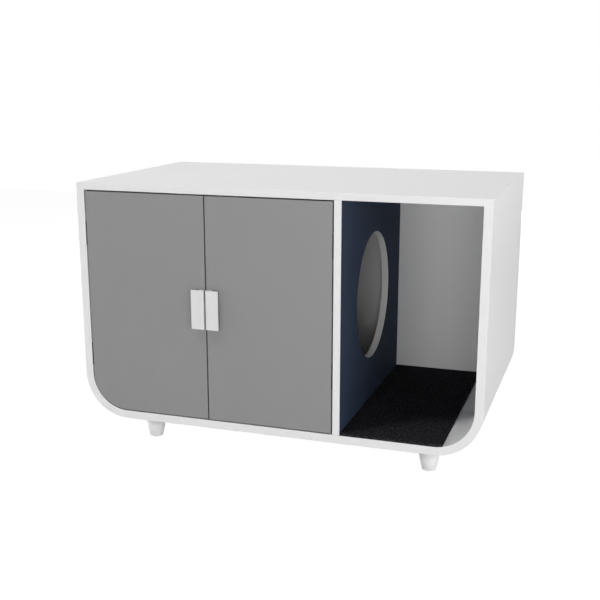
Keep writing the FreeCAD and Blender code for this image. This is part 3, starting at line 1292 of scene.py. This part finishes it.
@dataclass
class ButtHinges(Fitting):
    """The slim butt hinges of one door: a leaf on the side board, a leaf on the door, and a pin."""

    sheet: float = 0.00055
    knuckle_radius: float = 0.0012
    pin_radius: float = 0.0006
    running_play: float = 0.00005
    play: float = 0.0003
    corner_radius: float = 0.002
    corner_steps: int = 5
    screw_spread: float = 0.030
    screw_setback: float = 0.0082
    screw_length: float = 0.013
    sides: int = 28
    arris: float = 0.00012

    def _way(self, leaf: Leaf) -> int:
        """The x direction that a leaf's open face looks in."""
        return self.side.value if leaf is Leaf.SIDE else -self.side.value

    def _faces(self, level: Level, leaf: Leaf) -> tuple[float, float]:
        """Finds the faces of a leaf.

        Args:
            level: Which of the door's hinges.
            leaf: Which of its leaves.

        Returns:
            The x of the face against the board, and of the open one.
        """
        low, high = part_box(self.named(f"{level.value}_hinge_{leaf.value}"))
        way = self._way(leaf)
        back = low.x if way > 0 else high.x
        return back, back + way * self.sheet

    def _leaf(self, level: Level, leaf: Leaf) -> Workpiece:
        """Models a leaf with its knuckles.

        Args:
            level: Which of the door's hinges.
            leaf: Which of its leaves.

        Returns:
            The leaf.
        """
        node = self.named(f"{level.value}_hinge_{leaf.value}")
        low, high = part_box(node)
        pin = centre(self.named(f"{level.value}_hinge_pin"))
        left, right = sorted(self._faces(level, leaf))
        length = high.z - low.z
        third = (length - 2 * self.play) / 3
        starts = (low.z, high.z - third) if leaf is Leaf.SIDE else ((low.z + high.z - third) / 2,)
        knuckles_end = pin.y + self.knuckle_radius
        plate_start = knuckles_end + self.play
        plate = Workpiece.block(f"{node}_plate", (left, plate_start, low.z), (right, high.y, high.z))
        plate.rounded(edges(Axis.X, y=high.y), self.corner_radius, self.corner_steps)
        for start in starts:
            neck_end = knuckles_end + 2 * self.play
            plate.united(Workpiece.block("neck", (left, pin.y, start), (right, neck_end, start + third)))
            plate.united(Workpiece.round_bar(
                "knuckle", self.knuckle_radius, (pin.x, pin.y, start), third, self.sides
            ))
        bore = self.pin_radius + (0.0 if leaf is Leaf.SIDE else self.running_play)
        plate.cut(Workpiece.round_bar("bore", bore, (pin.x, pin.y, low.z - length / 2), 2 * length, self.sides))
        for place in self._screw_places(level, leaf):
            plate.cut(countersink(place))
        return plate.soften(self.arris, segments=2, angle=40.0)

    def _pin(self, level: Level) -> Workpiece:
        """Models a hinge's pin, with eased ends.

        Args:
            level: Which of the door's hinges.

        Returns:
            The pin.
        """
        node = self.named(f"{level.value}_hinge_pin")
        low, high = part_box(node)
        middle = centre(node)
        pin = Workpiece.round_bar(
            f"{node}_rod", (high.x - low.x) / 2, (middle.x, middle.y, low.z), high.z - low.z, self.sides
        )
        return pin.soften(self.arris, segments=2)

    def _screw_places(self, level: Level, leaf: Leaf) -> list[Matrix]:
        """Finds where a leaf's screws are, their heads flush with its open face.

        Args:
            level: Which of the door's hinges.
            leaf: Which of its leaves.

        Returns:
            The moves that bring a screw there.
        """
        low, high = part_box(self.named(f"{level.value}_hinge_{leaf.value}"))
        middle = (low.z + high.z) / 2
        x, y = self._faces(level, leaf)[1], low.y + self.screw_setback
        return [
            aimed((x, y, middle + z), (self._way(leaf), 0, 0))
            for z in (-self.screw_spread / 2, self.screw_spread / 2)
        ]

    def build_on_carcass(self) -> list[Workpiece]:
        """The side leaves and the pins."""
        return [piece for level in Level for piece in (self._leaf(level, Leaf.SIDE), self._pin(level))]

    def build_on_door(self) -> list[Workpiece]:
        """Models what the door carries.

        Returns:
            The door leaves and the screws in them.
        """
        screws = wood_screw(self.screw_length).drive(self.named("door_hinge_screws"), self.places(Leaf.DOOR))
        return [self._leaf(level, Leaf.DOOR) for level in Level] + [screws]

    def places(self, leaf: Leaf) -> list[Matrix]:
        """Where the screws of both hinges' leaves are."""
        return [place for level in Level for place in self._screw_places(level, leaf)]

    def dress(self, on_carcass: list[Workpiece], on_door: list[Workpiece]) -> None:
        """Blackens them all.

        Args:
            on_carcass: The pieces on the carcass.
            on_door: The pieces on the door.
        """
        for pieces, body in ((on_carcass, Body.CARCASS), (on_door, self.side.body)):
            for piece in pieces:
                piece.dress(DARK_STEEL, body, self._stands_for(piece.obj.name))

    def _stands_for(self, name: str) -> str:
        """The CAD node that a hinge piece of a name stands for."""
        return name.removesuffix("_plate").removesuffix("_rod").replace("door_hinge_screws", "hinge_screws")


@dataclass
class MagneticCatch(Fitting):
    """Catch of one door: a housing under the top with its magnet, and the strike plate on the door."""

    width: float = 0.030
    ear_thickness: float = 0.003
    ear_corner: float = 0.003
    plate_corner: float = 0.002
    corner_steps: int = 5
    strike_screw_length: float = 0.010
    arris: float = 0.0005
    magnet_arris: float = 0.0003

    def ear_screw_places(self) -> list[Matrix]:
        """Finds where the housing's two screws are.

        Returns:
            The moves that bring a screw there.
        """
        low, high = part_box(self.named("catch_housing"))
        middle = (low + high) / 2
        reach = (self.width + high.x - low.x) / 4
        level = high.z - self.ear_thickness
        return [aimed((middle.x + x, middle.y, level), (0, 0, -1)) for x in (-reach, reach)]

    def _strike_screw_place(self) -> Matrix:
        """Finds where the strike plate's screw is.

        Returns:
            The move that brings a screw there.
        """
        node = self.named("strike_plate")
        middle = centre(node)
        return aimed((middle.x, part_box(node)[1].y, middle.z), (0, 1, 0))

    def _housing(self) -> Workpiece:
        """Models the housing with its ears and its pocket.

        Returns:
            The housing.
        """
        low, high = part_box(self.named("catch_housing"))
        middle, half = (low.x + high.x) / 2, self.width / 2
        housing = Workpiece.block(self.named("catch_block"), (low.x, low.y, high.z - self.ear_thickness), high)
        housing.rounded(edges(Axis.Z), self.ear_corner, self.corner_steps)
        housing.united(Workpiece.block(
            "catch_body", (middle - half, low.y, low.z), (middle + half, high.y, high.z)
        ))
        magnet_low, magnet_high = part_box(self.named("catch_magnet"))
        housing.cut(Workpiece.block("pocket", magnet_low - Vector((0, 4 * self.arris, 0)), magnet_high))
        for place in self.ear_screw_places():
            housing.cut(countersink(place))
        return housing.soften(self.arris, segments=2, angle=40.0)

    def _strike_plate(self) -> Workpiece:
        """Models the strike plate.

        Returns:
            The plate.
        """
        plate = Workpiece.block(self.named("strike"), *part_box(self.named("strike_plate")))
        plate.rounded(edges(Axis.Y), self.plate_corner, self.corner_steps)
        return plate.cut(countersink(self._strike_screw_place())).soften(self.arris / 2, segments=2, angle=40.0)

    def _magnet(self) -> Workpiece:
        """Models the magnet, a bar with eased edges."""
        bar = Workpiece.block(self.named("magnet_bar"), *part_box(self.named("catch_magnet")))
        return bar.soften(self.magnet_arris, segments=2)

    def build(self) -> dict[str, Workpiece]:
        """Models the catch.

        Returns:
            Its pieces by the CAD nodes that they stand for, less the side.
        """
        return {
            "catch_housing": self._housing(),
            "strike_plate": self._strike_plate(),
            "catch_magnet": self._magnet(),
            "strike_screw": wood_screw(self.strike_screw_length).drive(
                self.named("strike_plate_screw"), [self._strike_screw_place()]
            ),
        }

    def dress(self, pieces: dict[str, Workpiece]) -> None:
        """Gives every piece its material.

        Args:
            pieces: The pieces by the CAD nodes that they stand for, less the side.
        """
        pieces["catch_housing"].dress(CATCH_PLASTIC, Body.CARCASS, self.named("catch_housing"))
        pieces["catch_magnet"].dress(MAGNET, Body.CARCASS, self.named("catch_magnet"))
        pieces["strike_plate"].dress(NICKEL, self.side.body, self.named("strike_plate"))
        pieces["strike_screw"].dress(ZINC, self.side.body, self.named("strike_screw"))


@dataclass
class CarcassScrews:
    """The screws of both doors' hinges and catches in the carcass."""

    hinge_screw_length: float = 0.013
    catch_screw_length: float = 0.013

    def build(self) -> tuple[Workpiece, Workpiece]:
        """Models the screws.

        Returns:
            The screws in the side boards, and those in the top.
        """
        hinge_places = [place for side in Side for place in ButtHinges(side).places(Leaf.SIDE)]
        catch_places = [place for side in Side for place in MagneticCatch(side).ear_screw_places()]
        return (
            wood_screw(self.hinge_screw_length).drive("side_leaf_screws", hinge_places),
            wood_screw(self.catch_screw_length).drive("catch_ear_screws", catch_places),
        )

    def dress(self, hinge_screws: Workpiece, catch_screws: Workpiece) -> None:
        """Blackens the hinge screws, and plates the others."""
        hinge_screws.dress(DARK_STEEL, Body.CARCASS, "hinge_side_screws")
        catch_screws.dress(ZINC, Body.CARCASS, "catch_screws")


# ---- Legs ----


@dataclass
class Legs:
    """Four turned legs that taper to a rounded foot."""

    foot_bevel: float = 0.0025
    bevel_steps: int = 5
    foot_radius: float = 0.015
    sides: int = 96

    def build(self) -> list[Workpiece]:
        """Models the legs, all from one pattern.

        Returns:
            The four legs.
        """
        low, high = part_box("front_left_leg")
        pattern = Workpiece.round_bar(
            "leg_pattern", self.foot_radius, (0, 0, low.z), high.z - low.z, self.sides, (high.x - low.x) / 2
        )
        pattern.rounded(edges(z=low.z), self.foot_bevel, self.bevel_steps).smooth()
        legs = []
        for place in LEG_PLACES:
            middle = centre(f"{place}_leg")
            legs.append(pattern.copied(f"{place}_turned_leg", Matrix.Translation((middle.x, middle.y, 0))))
        pattern.discard()
        return legs

    def dress(self, legs: list[Workpiece]) -> None:
        """Lacquers the legs."""
        for leg in legs:
            leg.dress(LEG_LACQUER, Body.CARCASS, leg.obj.name.replace("_turned", ""))


@dataclass
class FootGlides:
    """Nylon glides under the legs."""

    rim: float = 0.0012
    rim_steps: int = 4
    sides: int = 48

    def build(self) -> Workpiece:
        """Models all four glides from one pattern.

        Returns:
            The glides as one piece.
        """
        low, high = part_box("foot_glides")
        middles = [centre(f"{place}_leg") for place in LEG_PLACES]
        radius = high.x - max(middle.x for middle in middles)
        pattern = Workpiece.round_bar("glide_pattern", radius, (0, 0, low.z), high.z - low.z, self.sides)
        pattern.rounded(edges(z=low.z), self.rim, self.rim_steps).smooth()
        return pattern.repeated("leg_glides", [Matrix.Translation((m.x, m.y, 0)) for m in middles])

    def dress(self, glides: Workpiece) -> None:
        """Makes them nylon."""
        glides.dress(NYLON, Body.CARCASS, "foot_glides")


# ---- CAD nodes that stay ----


def dress_cad_nodes() -> None:
    """Gives every CAD node that still shows the finish of its slot."""
    finishes = {finish.slot: finish for finish in (
        WHITE_LACQUER, LEG_LACQUER, GREY_LACQUER, BLUE_LAMINATE, BACK_FACE, BLACK_FELT, WHITE_METAL, BIRCH,
        NYLON, CATCH_PLASTIC, MAGNET, BRASS, NICKEL, ZINC, DARK_STEEL,
    )}
    for part in frame["record"]["subparts"]:
        node = frame["nodes"][part["node"]]
        for slot in node.material_slots:
            slot.material = finishes[part["material_slot"]].material()
        if not node.hide_render:
            log.info("%s: %s, as it is in the frame", node.name, part["material_slot"])


# ---- Studio ----


@dataclass
class Lamp:
    """A rectangular soft lamp, aimed at the cabinet.

    Its share is how bright it makes a white surface that faces it, next to a white world of strength 1.
    """

    name: str
    place: Point
    size: tuple[float, float]
    share: float
    aim: Point = (0.0, 0.0, 0.35)

    def light(self) -> None:
        """Hangs the lamp."""
        way = Vector(self.aim) - Vector(self.place)
        data = bpy.data.lights.new(self.name, "AREA")
        data.shape = "RECTANGLE"
        data.size, data.size_y = self.size
        data.energy = self.share * math.pi**2 * way.length_squared
        lamp = bpy.data.objects.new(self.name, data)
        lamp.location = self.place
        lamp.rotation_euler = way.to_track_quat("-Z", "Y").to_euler()
        bpy.context.scene.collection.objects.link(lamp)


@dataclass
class Studio:
    """Pale floor, soft lamps, a white surround, and the camera of the photograph."""

    floor_size: float = 8.0
    floor_whiteness: float = 0.85
    floor_glow: float = 1.12
    floor_grey: Color = (0.9, 0.9, 0.9)
    ambient: float = 0.1
    camera_place: Point = (0.68949, -2.12602, 0.83655)
    camera_yaw: float = 0.3237
    camera_pitch: float = 0.2457
    focal_share: float = 977.95 / 600
    shift: float = 16.27 / 600
    lamps: tuple[Lamp, ...] = (
        Lamp("key_lamp", (-0.77, -1.06, 3.3), (0.3, 0.3), 0.318),
        Lamp("right_front_lamp", (1.07, -4.0, 0.6), (0.8, 0.8), 0.105),
        Lamp("front_lamp", (0.0, -4.2, 0.6), (1.0, 1.0), 0.111),
        Lamp("right_lamp", (3.4, -0.6, 0.7), (2.0, 2.0), 0.285),
        Lamp("right_corner_lamp", (2.7, -2.3, 0.75), (1.5, 0.9), 0.187),
        Lamp("left_lamp", (-3.4, -0.6, 0.7), (2.0, 2.0), 0.44),
        Lamp("top_lamp", (0.0, 1.2, 3.2), (1.5, 1.5), 0.235),
        Lamp("rear_lamp", (0.0, 4.0, 0.3), (0.7, 0.4), 0.34),
    )

    def build(self) -> None:
        """Sets up the floor, the lamps, the surround and the camera."""
        self._floor()
        self._surround()
        for lamp in self.lamps:
            lamp.light()
        self._camera()

    def _floor(self) -> None:
        """Lays a white floor that keeps a faint shadow."""
        bpy.ops.object.select_all(action="DESELECT")
        bpy.ops.mesh.primitive_plane_add(size=self.floor_size)
        floor = bpy.context.object
        floor.name = "studio_floor"
        shader = Shader("studio_floor")
        shader.set(Base_Color=(*self.floor_grey, 1.0), Roughness=0.9, Specular_IOR_Level=0.1)
        white = shader.node("ShaderNodeEmission", {}, {"Color": (1, 1, 1, 1), "Strength": self.floor_glow})
        both = shader.node("ShaderNodeMixShader", {}, {
            0: self.floor_whiteness * shader.ray(Ray.CAMERA),
            1: shader.surface.outputs["BSDF"],
            2: white.outputs[0],
        })
        shader.feed(shader.output.inputs["Surface"], both.outputs[0])
        floor.data.materials.append(shader.material)

    def _surround(self) -> None:
        """Makes a world that lights softly, and is white where it is seen or mirrored."""
        world = bpy.data.worlds.new("studio_surround")
        bpy.context.scene.world = world
        tree = Tree(world)
        seen = (tree.ray(Ray.CAMERA) + tree.ray(Ray.GLOSSY) + tree.ray(Ray.TRANSMISSION)).spread(0, 1)
        background = tree.node("ShaderNodeBackground", {}, {
            "Color": (1, 1, 1, 1), "Strength": self.ambient + (1 - self.ambient) * seen,
        })
        tree.node("ShaderNodeOutputWorld", {}, {"Surface": background.outputs[0]})

    def _camera(self) -> None:
        """Adds the camera where the photograph was taken from."""
        data = bpy.data.cameras.new("photo_camera")
        data.lens = self.focal_share * data.sensor_width
        data.shift_y = self.shift
        camera = bpy.data.objects.new("photo_camera", data)
        camera.location = self.camera_place
        camera.rotation_euler = (math.pi / 2 - self.camera_pitch, 0, self.camera_yaw)
        bpy.context.scene.collection.objects.link(camera)
        bpy.context.scene.camera = camera


def main() -> None:
    """Builds and dresses the cabinet, sub-assembly by sub-assembly, and sets up the studio."""
    logging.basicConfig(level=logging.INFO, format="%(message)s")
    shell = CabinetShell()
    shell.dress(shell.build())
    divider = Divider()
    divider.dress(*divider.build())
    mat = FeltMat()
    mat.dress(mat.build())
    back = BackPanel()
    back.dress(back.build())
    staples = Staples()
    staples.dress(staples.build())
    for side in Side:
        door = Door(side)
        door.dress(door.build())
        pull = Pull(side)
        pull.dress(pull.build())
        pull_screws = PullScrews(side)
        pull_screws.dress(pull_screws.build())
        hinges = ButtHinges(side)
        hinges.dress(hinges.build_on_carcass(), hinges.build_on_door())
        catch = MagneticCatch(side)
        catch.dress(catch.build())
    screws = CarcassScrews()
    screws.dress(*screws.build())
    legs = Legs()
    legs.dress(legs.build())
    glides = FootGlides()
    glides.dress(glides.build())
    dress_cad_nodes()
    Studio().build()
    scene = bpy.context.scene
    scene.view_settings.view_transform = "Standard"


if __name__ == "__main__":
    main()
